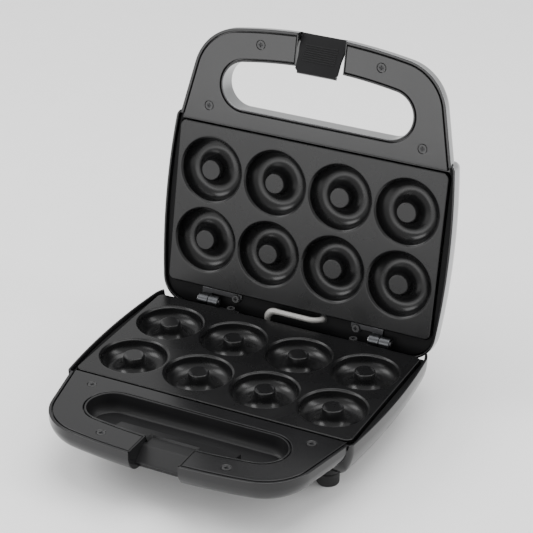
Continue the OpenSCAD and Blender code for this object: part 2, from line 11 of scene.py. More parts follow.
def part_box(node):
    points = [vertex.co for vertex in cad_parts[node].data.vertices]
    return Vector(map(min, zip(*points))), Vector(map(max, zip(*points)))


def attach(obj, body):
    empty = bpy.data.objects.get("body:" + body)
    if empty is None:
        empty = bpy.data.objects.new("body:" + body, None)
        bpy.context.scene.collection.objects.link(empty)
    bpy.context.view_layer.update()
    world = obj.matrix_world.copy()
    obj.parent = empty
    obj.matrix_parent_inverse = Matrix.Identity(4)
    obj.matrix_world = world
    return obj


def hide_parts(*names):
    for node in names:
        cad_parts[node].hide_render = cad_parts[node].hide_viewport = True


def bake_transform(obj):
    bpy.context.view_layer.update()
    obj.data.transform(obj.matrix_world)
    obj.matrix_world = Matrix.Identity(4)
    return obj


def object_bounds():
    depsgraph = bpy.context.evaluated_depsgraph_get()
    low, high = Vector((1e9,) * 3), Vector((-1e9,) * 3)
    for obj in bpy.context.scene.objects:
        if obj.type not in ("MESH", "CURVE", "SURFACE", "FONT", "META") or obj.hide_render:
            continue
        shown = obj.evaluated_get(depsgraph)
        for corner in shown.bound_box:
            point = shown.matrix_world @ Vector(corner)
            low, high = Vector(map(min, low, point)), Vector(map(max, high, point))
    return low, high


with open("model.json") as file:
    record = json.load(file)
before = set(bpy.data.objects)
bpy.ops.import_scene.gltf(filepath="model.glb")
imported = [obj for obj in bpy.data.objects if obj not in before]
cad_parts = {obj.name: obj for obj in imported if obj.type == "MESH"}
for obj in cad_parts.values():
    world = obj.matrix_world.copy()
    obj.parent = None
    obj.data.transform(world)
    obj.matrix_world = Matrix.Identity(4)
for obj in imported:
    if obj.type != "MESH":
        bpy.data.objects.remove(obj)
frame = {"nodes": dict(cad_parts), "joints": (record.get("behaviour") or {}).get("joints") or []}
first_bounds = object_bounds()

# Shapes are drawn in mm in a working frame: z = 0 is the face of the base's plate and the front is -Y.
# The lid's are drawn shut, or as copies of the base's turned over, and then swung open.
MM = 0.001
HINGE_Y, HINGE_Z = 75.0, -0.9
OPEN_DEG = 100.5
PLATE_GAP = 2.0                         # plate to plate when shut
hinge = Vector(frame["joints"][0]["pos_m"]) / MM
SHIFT = Vector((0, hinge.y - HINGE_Y, hinge.z - HINGE_Z))

BASE = Matrix.Scale(MM, 4) @ Matrix.Translation(SHIFT)
OPENED = (Matrix.Translation((0, HINGE_Y, HINGE_Z)) @ Matrix.Rotation(math.radians(-OPEN_DEG), 4, "X")
          @ Matrix.Translation((0, -HINGE_Y, -HINGE_Z)))
FLIP = Matrix.Translation((0, 0, PLATE_GAP)) @ Matrix.Diagonal((1, 1, -1, 1))
LID = BASE @ OPENED @ FLIP
LID_CLOSED = BASE @ OPENED
SIDES = {"base": BASE, "lid": LID}
ALONG_X = Matrix(((0, 0, 1, 0), (1, 0, 0, 0), (0, 1, 0, 0), (0, 0, 0, 1)))    # drawn in (y, z), along x


# ------------------------------------------------------------------ outlines
HALF_W, SIDE_R, REAR_Y, FRONT_Y = 120.5, 590.0, 84.0, -74.0
REAR_CORNER, FRONT_CORNER, TIGHTEST = 22.0, 7.0, 2.0
WALL_H, DOME_H, DOME_IN, BODY_WALL = 4.0, 36.0, 35.0, 1.8
HANDLE_CX, HANDLE_CY, HANDLE_R = 64.5, -104.5, 40.5
HANDLE_FRONT, HANDLE_DOME, RIM_W = -150.2, 16.0, 2.4
REACH = HANDLE_CY - HANDLE_FRONT
FRONT_R = (REACH ** 2 + HANDLE_CX ** 2 - HANDLE_R ** 2) / (2 * (REACH - HANDLE_R))    # tangent to the corners
SLOT_CX, SLOT_CY, SLOT_R, SLOT_FRONT_R = 60.5, -101.0, 18.5, 390.0
SLOT_FRONT_CY = SLOT_CY + math.sqrt((SLOT_FRONT_R - SLOT_R) ** 2 - SLOT_CX ** 2)
GAP_HALF, REVEAL, SIDE_LEAN = 19.6, 0.9, 12.26
SIDE_CX = HALF_W - SIDE_R
FRONT_CY = HANDLE_FRONT + FRONT_R
RIM_END_Y = -70.6


def arc(cx, cy, r, a0, a1, n, first=0):
    out = []
    for k in range(first, n + 1):
        a = math.radians(a0 + (a1 - a0) * k / n)
        out.append((cx + r * math.cos(a), cy + r * math.sin(a)))
    return out


def quarter(n, first=0):
    """Cosine and sine at n even steps of a quarter turn."""
    angles = [math.radians(90 * k / n) for k in range(first, n + 1)]
    return [(math.cos(a), math.sin(a)) for a in angles]


def corner_x(inset, r, y):
    return SIDE_CX + math.sqrt((SIDE_R - inset - r) ** 2 - y * y)


def mirrored(points):
    return [(-x, y) for x, y in reversed(points)]


def body_loop(inset):
    r1 = max(REAR_CORNER - inset, TIGHTEST)
    y1 = REAR_Y - inset - r1
    r0 = max(FRONT_CORNER - inset, TIGHTEST)
    y0 = FRONT_Y + inset + r0
    t0 = math.degrees(math.asin(y0 / (SIDE_R - inset - r0)))
    t1 = math.degrees(math.asin(y1 / (SIDE_R - inset - r1)))
    half = (arc(corner_x(inset, r0, y0), y0, r0, -90, t0, 12)
            + arc(SIDE_CX, 0, SIDE_R - inset, t0, t1, 44, 1)
            + arc(corner_x(inset, r1, y1), y1, r1, t1, 90, 20, 1))
    return half + mirrored(half)


def handle_half(inset):
    """From the latch gap round the corner to where the rim ends inside the body's corner."""
    turn = math.degrees(math.atan2(HANDLE_CY - FRONT_CY, HANDLE_CX))
    start = -90 + math.degrees(math.asin(GAP_HALF / (FRONT_R - inset)))
    points = (arc(0, FRONT_CY, FRONT_R - inset, start, turn, 12)
              + arc(HANDLE_CX, HANDLE_CY, HANDLE_R - inset, turn, -SIDE_LEAN, 30, 1))
    lean = math.radians(SIDE_LEAN)
    x0, y0 = points[-1]
    for k in range(1, 9):
        y = y0 + (RIM_END_Y - y0) * k / 8
        points.append((x0 + (y - y0) * math.tan(lean), y))
    return points


def slot_path(out, gap=GAP_HALF):
    """Round the slot from the gap's right side, by the right end and the rear, to its left side."""
    r = SLOT_FRONT_R + out
    a0 = -90 + math.degrees(math.asin(gap / r))
    a1 = -90 + math.degrees(math.asin(SLOT_CX / (SLOT_FRONT_R - SLOT_R)))
    right = (arc(0, SLOT_FRONT_CY, r, a0, a1, 8)
             + arc(SLOT_CX, SLOT_CY, SLOT_R + out, a1, 90, 30, 1))
    rear = SLOT_CY + SLOT_R + out
    middle = [(SLOT_CX * (1 - k / 6.0), rear) for k in range(1, 12)]
    return right + middle + mirrored(right)


def dome_inset(depth):
    """How far the body's dome has drawn in at a depth below its rim."""
    s = min(max((depth - WALL_H) / DOME_H, 0), 1)
    return DOME_IN * (1 - math.sqrt(max(1 - s * s, 0)))


def dome_rows(height, draw):
    return [(draw * (1 - c), WALL_H + height * s) for c, s in quarter(16, 1)]


def rim_rows(width, inner_depth, edge=0.55, steps=4):
    """Rim section from its inner foot over the top to the outer wall: (inset, depth)."""
    return ([(width, inner_depth), (width, edge)]
            + [(width - edge + edge * c, edge - edge * s) for c, s in quarter(steps, 1)]
            + [(edge - edge * s, edge - edge * c) for c, s in quarter(steps)])


# ------------------------------------------------------------------ mesh building
def fill(*loops):
    """Triangles that fill a flat outline; loops after the first are holes."""
    return [tuple(t) for t in tessellate_polygon([[Vector((x, y, 0)) for x, y in loop] for loop in loops])]


def loft(columns, closed=False):
    """Faces between columns of points, each column the same length."""
    verts, faces = [p for column in columns for p in column], []
    rows, count = len(columns[0]), len(columns)
    for j in range(count if closed else count - 1):
        a, b = j * rows, ((j + 1) % count) * rows
        for r in range(rows - 1):
            faces.append((a + r, b + r, b + r + 1, a + r + 1))
    return verts, faces


def stacked(rows, outline):
    """A column of points for each place along an outline, from rows of (offset, depth)."""
    loops = [outline(offset) for offset, _ in rows]
    return [[(*loop[j], -depth) for loop, (_, depth) in zip(loops, rows)] for j in range(len(loops[0]))]


class Build:
    """Collects several surfaces into one mesh."""

    def __init__(self):
        self.verts, self.faces = [], []

    def add(self, verts, faces):
        base = len(self.verts)
        self.verts.extend(verts)
        self.faces.extend([tuple(i + base for i in f) for f in faces])

    def cap(self, loops, z):
        """Flat polygon at a height; loops after the first are holes."""
        self.add([(x, y, z) for loop in loops for x, y in loop], fill(*loops))


def smooth_object(name, verts, faces, material, merge=True):
    """A smooth piece in the scene, its faces turned outwards."""
    mesh = bpy.data.meshes.new(name)
    mesh.from_pydata(verts, [], faces)
    bm = bmesh.new()
    bm.from_mesh(mesh)
    if merge:
        bmesh.ops.remove_doubles(bm, verts=bm.verts, dist=2e-6)
    bmesh.ops.recalc_face_normals(bm, faces=bm.faces)
    bm.to_mesh(mesh)
    bm.free()
    mesh.validate()
    mesh.polygons.foreach_set("use_smooth", [True] * len(mesh.polygons))
    obj = bpy.data.objects.new(name, mesh)
    bpy.context.scene.collection.objects.link(obj)
    obj.data.materials.append(material)
    return obj


def finish(name, build, matrix, body, material, node=None, angle=35):
    """Make a rigid piece of what was built; it stands for a CAD node where one is named."""
    faces = build.faces
    if matrix.determinant() < 0:
        faces = [tuple(reversed(f)) for f in faces]
    obj = smooth_object(name, [matrix @ Vector(v) for v in build.verts], faces, material)
    obj.data.set_sharp_from_angle(angle=math.radians(angle))
    # flat faces keep a flat shine right up to their rounded edges
    flat_shine = obj.modifiers.new("flat_shine", "WEIGHTED_NORMAL")
    flat_shine.mode = "FACE_AREA"
    flat_shine.keep_sharp = True
    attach(obj, body)
    if node:
        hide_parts(node)


def offset_loop(points, d):
    """Closed loop moved inwards by d, mitred; points run anticlockwise."""
    out, n = [], len(points)
    for k in range(n):
        p0, p1, p2 = Vector(points[k - 1]), Vector(points[k]), Vector(points[(k + 1) % n])
        e0, e1 = (p1 - p0), (p2 - p1)
        if e0.length < 1e-6 or e1.length < 1e-6:
            out.append(tuple(p1))
            continue
        n0 = Vector((-e0.y, e0.x)).normalized()
        n1 = Vector((-e1.y, e1.x)).normalized()
        m = n0 + n1
        scale = 2 / max(m.length_squared, 0.3)
        out.append(tuple(p1 + m * d * scale))
    return out


def rectangle(x0, x1, y0, y1):
    return [(x0, y0), (x1, y0), (x1, y1), (x0, y1)]


def rounded_rect(w, d, r, n=8):
    pts = []
    for sx, sy, a in ((1, -1, -90), (1, 1, 0), (-1, 1, 90), (-1, -1, 180)):
        pts += arc(sx * (w / 2 - r), sy * (d / 2 - r), r, a, a + 90, n)
    return pts


def circle(cx, cy, r, n):
    return arc(cx, cy, r, 0, 360, n)[:n]


def side_columns(loop, levels):
    """Columns up the side of a flat piece, its outline drawn in at each level of (inset, z)."""
    columns = [[] for _ in loop]
    for inset, z in levels:
        for column, (x, y) in zip(columns, offset_loop(loop, inset) if inset > 1e-6 else loop):
            column.append((x, y, z))
    return columns


def slab(build, loop, top, bottom, edge, holes=()):
    """A flat piece with rounded upper edges; holes are loops cut from its top."""
    levels = [(0, bottom), (0, top - edge)]
    levels += [(edge - edge * c, top - edge + edge * s) for c, s in quarter(4, 1)]
    build.add(*loft(side_columns(loop, levels), closed=True))
    build.cap([offset_loop(loop, edge), *holes], top)


def block(build, loop, z0, z1, edge, place=None, bore=None):
    """A flat piece with rounded edges on both faces, bored through and moved by a matrix if wanted."""
    levels = [(edge - edge * c, z0 + edge - edge * s) for c, s in reversed(quarter(3))]
    levels += [(edge - edge * c, z1 - edge + edge * s) for c, s in quarter(3)]
    part = Build()
    part.add(*loft(side_columns(loop, levels), closed=True))
    for z in (z0, z1):
        part.cap([offset_loop(loop, edge)] + ([bore[::-1]] if bore else []), z)
    if bore:
        part.add(*loft([[(x, y, z0), (x, y, z1)] for x, y in bore], closed=True))
    build.add([tuple(place @ Vector(v)) for v in part.verts] if place else part.verts, part.faces)


def turned(build, profile, cx, cy, n, place=None):
    """Profile of (radius, z) turned round a vertical line."""
    columns = []
    for k in range(n):
        a = 2 * math.pi * k / n
        column = [(cx + r * math.cos(a), cy + r * math.sin(a), z) for r, z in profile]
        columns.append([tuple(place @ Vector(p)) for p in column] if place else column)
    build.add(*loft(columns, closed=True))


# ------------------------------------------------------------------ materials
def surface(name, color, rough, metal=0.0, mottle=0.06, mottle_scale=38.0, rough_spread=0.06,
            grain=900.0, bump=0.02, bump_mm=0.05, coat=0.0, coat_rough=0.1, specular=0.5,
            wear=0.0, wear_color=(0.5, 0.5, 0.5), stretch=(1, 1, 1)):
    """Mottled colour and roughness, a fine grain in relief, and wear along the edges."""
    mat = bpy.data.materials.new(name)
    mat.use_nodes = True
    nodes, links = mat.node_tree.nodes, mat.node_tree.links
    bsdf = nodes["Principled BSDF"]
    coord = nodes.new("ShaderNodeTexCoord")
    mapping = nodes.new("ShaderNodeMapping")
    mapping.inputs["Scale"].default_value = stretch
    links.new(coord.outputs["Object"], mapping.inputs["Vector"])

    def noise(scale, detail):
        tex = nodes.new("ShaderNodeTexNoise")
        tex.inputs["Scale"].default_value = scale
        tex.inputs["Detail"].default_value = detail
        links.new(mapping.outputs["Vector"], tex.inputs["Vector"])
        return tex.outputs["Fac"]

    def remap(value, low, high, to_low, to_high):
        node = nodes.new("ShaderNodeMapRange")
        node.inputs["From Min"].default_value = low
        node.inputs["From Max"].default_value = high
        node.inputs["To Min"].default_value = to_low
        node.inputs["To Max"].default_value = to_high
        links.new(value, node.inputs["Value"])
        return node.outputs["Result"]

    def color_mix(factor, second):
        node = nodes.new("ShaderNodeMix")
        node.data_type = "RGBA"
        node.inputs[7].default_value = (*second, 1)
        links.new(factor, node.inputs[0])
        return node

    broad, fine = noise(mottle_scale, 5), noise(grain, 3)
    tint = color_mix(broad, [min(c * (1 + mottle), 1) for c in color])
    tint.inputs[6].default_value = (*[c * (1 - mottle) for c in color], 1)
    if wear > 0:
        edges = nodes.new("ShaderNodeNewGeometry").outputs["Pointiness"]
        worn = color_mix(remap(edges, 0.54, 0.62, 0.0, wear), wear_color)
        links.new(tint.outputs[2], worn.inputs[6])
        tint = worn
    links.new(tint.outputs[2], bsdf.inputs["Base Color"])
    links.new(remap(broad, 0.3, 0.7, max(rough - rough_spread, 0.03), min(rough + rough_spread, 1)),
              bsdf.inputs["Roughness"])
    relief = nodes.new("ShaderNodeBump")
    relief.inputs["Strength"].default_value = bump
    relief.inputs["Distance"].default_value = bump_mm * MM
    links.new(fine, relief.inputs["Height"])
    links.new(relief.outputs["Normal"], bsdf.inputs["Normal"])
    bsdf.inputs["Metallic"].default_value = metal
    bsdf.inputs["Coat Weight"].default_value = coat
    bsdf.inputs["Coat Roughness"].default_value = coat_rough
    bsdf.inputs["Specular IOR Level"].default_value = specular
    return mat


SILVER = surface("silver_paint", (0.25, 0.254, 0.258), 0.3, metal=0.75, mottle=0.02, grain=2600,
                 bump=0.12, rough_spread=0.03, coat=0.3, coat_rough=0.15)
BLACK = surface("black_gloss_plastic", (0.009, 0.009, 0.0095), 0.18, mottle=0.08, rough_spread=0.03,
                grain=1600, bump=0.05, specular=0.35)
SATIN = surface("black_satin_plastic", (0.008, 0.008, 0.0085), 0.42, mottle=0.08, rough_spread=0.04,
                grain=1600, bump=0.15, specular=0.25)
TRIM = surface("trim_gloss", (0.007, 0.007, 0.0075), 0.2, mottle=0.04, rough_spread=0.015, grain=1500,
               bump=0.05, specular=0.42)
COATING = surface("nonstick_coating", (0.005, 0.005, 0.0053), 0.28, mottle=0.12,
                  rough_spread=0.04, grain=1800, bump=0.25, bump_mm=0.04, wear=0.3,
                  wear_color=(0.07, 0.07, 0.072), specular=0.34)
LINER = surface("liner_black", (0.003, 0.003, 0.0033), 0.6, mottle=0.2, grain=1200, bump=0.3,
                specular=0.15)
LATCH = surface("latch_black", (0.006, 0.006, 0.0065), 0.42, mottle=0.1, grain=1600, bump=0.3,
                wear=0.2, wear_color=(0.05, 0.05, 0.05), specular=0.15)
STEEL = surface("bright_steel", (0.42, 0.42, 0.43), 0.3, metal=1.0, mottle=0.08, mottle_scale=220,
                rough_spread=0.08, grain=700, bump=0.15, stretch=(1, 1, 6))
KNUCKLE = surface("hinge_steel", (0.07, 0.072, 0.076), 0.36, metal=1.0, mottle=0.2, mottle_scale=300,
                  rough_spread=0.1, grain=900, bump=0.3, stretch=(7, 1, 1), wear=0.6,
                  wear_color=(0.3, 0.3, 0.31))
SCREW = surface("blackened_screw", (0.016, 0.016, 0.017), 0.36, metal=0.3, mottle=0.2,
                mottle_scale=200, grain=900, bump=0.2, specular=0.35, wear=0.3,
                wear_color=(0.12, 0.12, 0.12))
# the hinge leaves: the knuckles' steel painted darker, as painted shade of the recess the leaves sit in
LEAF_SHADE_STEEL = surface("hinge_leaf_painted_shade", (0.03, 0.03, 0.032), 0.4, metal=0.7, mottle=0.2,
                     mottle_scale=200, grain=900, bump=0.3, wear=0.5, wear_color=(0.25, 0.25, 0.25))
DULL_STEEL = surface("heater_steel", (0.3, 0.27, 0.24), 0.45, metal=1.0, mottle=0.25,
                     mottle_scale=90, rough_spread=0.1, bump=0.3)
SHEET = surface("shield_sheet", (0.72, 0.72, 0.73), 0.3, metal=1.0, mottle=0.08, mottle_scale=60,
                rough_spread=0.1, bump=0.2, stretch=(8, 1, 1))
RUBBER = surface("foot_rubber", (0.014, 0.014, 0.0142), 0.62, mottle=0.2, grain=1400, bump=0.5,
                 wear=0.2, wear_color=(0.05, 0.05, 0.05), specular=0.3)
CREAM = surface("terminal_plastic", (0.62, 0.59, 0.5), 0.5, mottle=0.08, bump=0.2)
BRAID = surface("glass_braid", (0.3, 0.295, 0.285), 0.4, metal=0.35, mottle=0.25, mottle_scale=260,
                grain=3000, bump=0.6, bump_mm=0.1)

# CAD nodes that aren't listed are steel
CAD_MATERIALS = {
    "base_liner": LINER, "lid_liner": LINER, "base_element": DULL_STEEL, "lid_element": DULL_STEEL,
    "base_reflector": SHEET, "lid_reflector": SHEET, "thermostat": DULL_STEEL, "base_fuse": SHEET,
    "lid_fuse": SHEET, "terminal_block": CREAM, "cord_gland": RUBBER, "base_grommet": RUBBER,
    "lid_grommet": RUBBER, "wire_sleeve": BRAID, "latch": LATCH,
    "base_housing": BLACK, "lid_cover": SILVER, "base_trim_screws": SCREW, "lid_trim_screws": SCREW,
    "base_hinge_screws": SCREW, "lid_hinge_screws": SCREW, "base_trim": TRIM, "lid_trim": TRIM,
    "base_plate": COATING, "lid_plate": COATING,
}
FEET = {"front_left": (-90, -52.3), "front_right": (90, -52.3),
        "rear_left": (-90, 55), "rear_right": (90, 55)}
CAD_MATERIALS.update({"foot_" + where: RUBBER for where in FEET})
for node_name, node_obj in frame["nodes"].items():
    node_obj.data.materials.clear()
    node_obj.data.materials.append(CAD_MATERIALS.get(node_name, STEEL))


# ------------------------------------------------------------------ shells
REAR_RIM = 12.5                         # the base's rear wall stands this far below its rim
REAR_RIM_Y = HINGE_Y - 1.5
ARM_DROP, ARM_Y, ARM_X = 3.6, -69.9, 114.2    # the front wall drops under the trim, between the arms
RIM_SPLIT, SLOT_SPLIT = 9, 7            # rows of the rim sections up to their outer edge
SLOT_RIM = 1.6
SLOT_FILLET = 5.4                       # round the foot of the lid's slot
SEAT_Z, SEAT_OUT = -2.55, 1.2           # ledge under the trim
ARM_REAR_Y, ARM_FRONT_Y = -124.2, -149.6
FOOT_SEAT = -38.4
GLAND = (60, 72, -26)                   # where the mains cord would go in
GLAND_COLLAR = [(6.0, 9.5), (9.4, 9.5), (10.0, 8.9), (10.0, -4)]
SHELF_HALF = 48.0                       # the pocket is deep beyond this, with no shelf in front
SHELF_REAR, STEP_REAR = -109.4, -107.6
POCKET_Z, SCOOP_IN, SCOOP_UP = -14.4, 4.6, 8.0
GAP_REAR, GAP_FLOOR = -117, -5.4        # the pocket's floor drops under the latch


def body_columns(side):
    """Body shell, one column of points for each place round the outline."""
    rows = rim_rows(BODY_WALL, 9.0) + dome_rows(DOME_H, DOME_IN)
    outlines = [body_loop(inset) for inset, _ in rows]
    columns = []
    for j, (x, y) in enumerate(body_loop(0)):
        low = ARM_DROP if y < ARM_Y and abs(x) < ARM_X else 0.0
        if side == "base" and y > REAR_RIM_Y:
            low = REAR_RIM
        column = []
        for (inset, depth), outline in zip(rows, outlines):
            px, py = outline[j]
            if depth <= WALL_H or inset == BODY_WALL:
                # a lowered rim slides down and in with the dome
                d = depth + low
                if low and dome_inset(d):
                    px, py = body_loop(inset + dome_inset(d))[j]
            else:
                d = low + WALL_H + (depth - WALL_H) * (DOME_H - low) / DOME_H
                px, py = body_loop(dome_inset(d))[j]
            column.append((px, py, -d))
        columns.append(column)
    return columns


def slot_rows(side):
    """Slot wall from the face inwards: (outward offset, depth)."""
    rows = rim_rows(SLOT_RIM, 6.0, 0.5, 3)
    if side == "base":
        top = -POCKET_Z - SCOOP_UP
        scoop = [(SCOOP_IN * (c - 1), top + (SCOOP_UP + 0.4) * s) for c, s in quarter(10, 1)]
        return rows + [(0, top)] + scoop
    rows += [(0, 6.0), (0, 10.0), (0, 14.6)]
    top = WALL_H + HANDLE_DOME - SLOT_FILLET
    return rows + [(SLOT_FILLET - SLOT_FILLET * c, top + SLOT_FILLET * s) for c, s in quarter(8, 1)]


def mirror_columns(columns):
    return [[(-x, y, z) for x, y, z in col] for col in reversed(columns)]


def below_rim(column):
    """A column's (y, z) from the top of its rim down."""
    start = next(k for k, p in enumerate(column) if p[2] > -1e-6)
    return [(y, z) for _, y, z in column[start:]]


def arm_end(build, side, handle, slot):
    """Flat wall at the side of the latch gap, from the slot's front edge to the handle's front."""
    if side == "lid":
        inner = below_rim(slot[0])
    else:
        inner = [(-124.6, 0.0), (-124.6, -1.9), (-117.0, -3.6), (-117.0, -20.0)]
    loop = below_rim(handle[0]) + inner[::-1]
    faces = fill(loop)
    for s in (1, -1):
        build.add([(s * GAP_HALF, y, z) for y, z in loop], faces)


def gap_rim(build):
    """Top of the arms beside the gap, out to where the trim starts."""
    for s in (1, -1):
        corners = rectangle(s * GAP_HALF, s * (GAP_HALF + 0.8), ARM_FRONT_Y, ARM_REAR_Y)
        build.add([(x, y, z) for z in (0, -3.0) for x, y in corners], [(0, 1, 2, 3), (1, 5, 6, 2)])


def pocket_height(x, y):
    """Depth of the finger pocket: a shelf in front of its middle, and a trough behind it."""
    trough = POCKET_Z - 0.3 * (max(y, STEP_REAR) - STEP_REAR) / 25
    if abs(x) > SHELF_HALF or y > STEP_REAR:
        return trough
    shelf = -0.7 - (min(y, SHELF_REAR) + 130) * 0.19
    s = max((y - SHELF_REAR) / (STEP_REAR - SHELF_REAR), 0)
    return shelf + (trough - shelf) * (s * s * (3 - 2 * s))


def slot_span(x):
    """Front and rear edge of the slot at a distance from its middle."""
    x = abs(x)
    if x <= SLOT_CX:
        return SLOT_FRONT_CY - math.sqrt(SLOT_FRONT_R ** 2 - x * x), SLOT_CY + SLOT_R
    h = math.sqrt(max(SLOT_R ** 2 - (x - SLOT_CX) ** 2, 0))
    return SLOT_CY - h, SLOT_CY + h


def pocket_floor(build):
    ys = [-125.0 + 1.2 * k for k in range(0, 13)]
    ys += [SHELF_REAR + 0.15 * k for k in range(0, 13)] + [-107.4 + 1.25 * k for k in range(0, 21)]
    xs = [(SLOT_CX + SLOT_R - 0.02) * (-1 + 2 * k / 80) for k in range(0, 81)]
    xs += [s * (SHELF_HALF + step) for s in (-1, 1) for step in (0, 0.1)]
    columns = []
    for x in sorted(xs):
        y0, y1 = slot_span(x)
        column = []
        for y in ys:
            y = min(max(y, y0), y1)
            h = pocket_height(x, y)
            if abs(x) < GAP_HALF and y < GAP_REAR:
                h = min(h, GAP_FLOOR)
            column.append((x, y, h))
        columns.append(column)
    build.add(*loft(columns))


def catch_block(build):
    """The catch between the base's arms that the latch hooks under."""
    profile = [(-116.5, -5.0), (-127.2, -5.0), (-128.2, -5.3), (-129.0, -5.9), (-137.4, -11.7),
               (-138.2, -12.3), (-138.8, -12.7), (-139.0, -13.1), (-139.0, -13.9), (-138.6, -14.3),
               (-134.0, -14.3), (-134.0, -20.0), (-117.0, -20.0)]
    block(build, profile, -GAP_HALF - 0.4, GAP_HALF + 0.4, 0.2, ALONG_X)


def shell(side):
    """The moulding in skins: its outside, the bare rims and inner walls, and the base's pocket."""
    outside, inside, pocket = Build(), Build(), Build()
    body = body_columns(side)
    inside.add(*loft([c[:RIM_SPLIT] for c in body], closed=True))
    outside.add(*loft([c[RIM_SPLIT - 1:] for c in body], closed=True))
    outside.cap([[c[-1][:2] for c in body]], -WALL_H - DOME_H)
    handle = stacked(rim_rows(RIM_W, 8.0) + dome_rows(HANDLE_DOME, HANDLE_DOME), handle_half)
    for columns in (handle, mirror_columns(handle)):
        inside.add(*loft([c[:RIM_SPLIT] for c in columns]))
        outside.add(*loft([c[RIM_SPLIT - 1:] for c in columns]))
    faces = fill([(x, z) for x, _, z in handle[-1]])
    for s in (1, -1):
        outside.add([(s * x, y, z) for x, y, z in handle[-1]], faces)
    slot = stacked(slot_rows(side), slot_path)
    inside.add(*loft([c[:SLOT_SPLIT] for c in slot]))
    (outside if side == "lid" else pocket).add(*loft([c[SLOT_SPLIT - 1:] for c in slot]))
    arm_end(inside, side, handle, slot)
    gap_rim(inside)
    inside.cap([trim_outline(-SEAT_OUT)], SEAT_Z)
    underside = [c[-1][:2] for c in handle]
    underside += mirrored(underside)
    if side == "lid":
        underside += [c[-1][:2] for c in reversed(slot)]
    outside.cap([underside], -WALL_H - HANDLE_DOME)
    if side == "base":
        pocket_floor(pocket)
        catch_block(pocket)
        for x, y in FEET.values():
            turned(outside, [(0.1, FOOT_SEAT), (7.4, FOOT_SEAT), (8.0, -37.9), (8.0, -28)], x, y, 40)
        turned(outside, GLAND_COLLAR, 0, 0, 40,
               Matrix.Translation(GLAND) @ Matrix.Rotation(math.radians(-90), 4, "X"))
    node, skin, slot_name = (("base_housing", BLACK, "shell_black") if side == "base"
                             else ("lid_cover", SILVER, "shell_silver"))
    skins = [("_shell_skin", outside, skin, slot_name), ("_rim_skin", inside, BLACK, "shell_black")]
    if side == "base":
        skins.append(("_pocket_skin", pocket, SATIN, "shell_black"))
    for name, build, material, slot_name in skins:
        finish(side + name, build, SIDES[side], side, material, node, angle=30)


# ------------------------------------------------------------------ trims
TRIM_SCREWS = [(49.8, -135.0), (-49.8, -135.0), (89.1, -80.5), (-89.1, -80.5)]
TRIM_REAR, TRIM_T, SCREW_HOLE = -67.8, 2.2, 4.1
SCREW_WELL = [(SCREW_HOLE, 0.0), (3.8, -0.06), (3.6, -0.25), (3.55, -1.1), (1.8, -1.1), (1.8, -TRIM_T)]


def trim_outline(extra=0.0):
    """Trim outline, anticlockwise; extra shrinks it all round."""
    gap = GAP_HALF + 1.3 + extra
    rear = TRIM_REAR - extra
    out = [(max(x, gap), y) for x, y in handle_half(RIM_W + REVEAL + extra) if y < rear]
    x1, y1 = out[-1]
    out.append((x1 + (rear - y1) * math.tan(math.radians(SIDE_LEAN)), rear))
    return out + mirrored(out) + slot_path(SLOT_RIM + REVEAL + extra, gap)[::-1]


def trim(side):
    b = Build()
    slab(b, trim_outline(), 0.0, -TRIM_T, 0.45, [circle(x, y, SCREW_HOLE, 36)[::-1] for x, y in TRIM_SCREWS])
    for x, y in TRIM_SCREWS:
        turned(b, SCREW_WELL, x, y, 36)
    finish(side + "_trim_skin", b, SIDES[side], side, TRIM, side + "_trim")


# ------------------------------------------------------------------ plates
PLATE_W, PLATE_D, PLATE_T, PITCH_X, PITCH_Y, ROW_SHIFT = 224.6, 131.4, 6.5, 55.0, 57.3, 1.1
GROOVE_CR, GROOVE_R, GROOVE_Z = 16.9, 8.2, -3.2
CAVITY_RIM = [(27.3, 0.0), (26.75, -0.04), (26.45, -0.2), (26.3, -0.45), (25.95, -0.8), (25.6, -0.95),
              (25.35, -1.2), (25.2, -1.7)]
HUB = [(8.3, -1.6), (8.0, -0.2), (7.9, 0.2), (7.75, 0.55), (7.45, 0.75), (7.0, 0.8)]


def cavity(build, cx, cy, profile, n=128):
    """One ring cavity and hub, with the plate's face round it out to its cell's edges."""
    hx, hy = PITCH_X / 2, PITCH_Y / 2
    angles = [2 * math.pi * (k + 0.5) / n for k in range(n)]
    columns = []
    for a in angles:
        c, s = math.cos(a), math.sin(a)
        t = min(hx / max(abs(c), 1e-9), hy / max(abs(s), 1e-9))
        columns.append([(cx + t * c, cy + t * s, 0.0)] + [(cx + r * c, cy + r * s, z) for r, z in profile])
    build.add(*loft(columns, closed=True))
    build.add([c[-1] for c in columns], [tuple(range(n))])
    for sx in (-1, 1):
        for sy in (-1, 1):
            corner = math.atan2(sy * hy, sx * hx)
            near = sorted(range(n), key=lambda k: abs(math.remainder(angles[k] - corner, 2 * math.pi)))[:2]
            build.add([(cx + sx * hx, cy + sy * hy, 0.0)] + [columns[k][0] for k in near], [(0, 1, 2)])


def plate(side):
    b = Build()
    groove = arc(GROOVE_CR, GROOVE_Z, GROOVE_R, 0, -180, 24)
    for i in range(4):
        for j in range(2):
            cavity(b, (i - 1.5) * PITCH_X, (j - 0.5) * PITCH_Y - ROW_SHIFT, CAVITY_RIM + groove + HUB)
    window = rectangle(-2 * PITCH_X, 2 * PITCH_X, -PITCH_Y - ROW_SHIFT, PITCH_Y - ROW_SHIFT)[::-1]
    slab(b, rounded_rect(PLATE_W, PLATE_D, 5), 0.0, -PLATE_T, 0.7, [window])
    finish(side + "_plate_skin", b, SIDES[side], side, COATING, side + "_plate", angle=40)


# ------------------------------------------------------------------ latch
LATCH_Y, LATCH_Z, LATCH_LEAN = -145.5, 10.5, 66.6
LATCH_HALF, LATCH_FOOT, LATCH_LEN = 18.6, 17.6, 28.2
LATCH_FRONT, LATCH_BACK, RIB_HALF, EAR_W = 4.25, 2.05, 13.2, 5


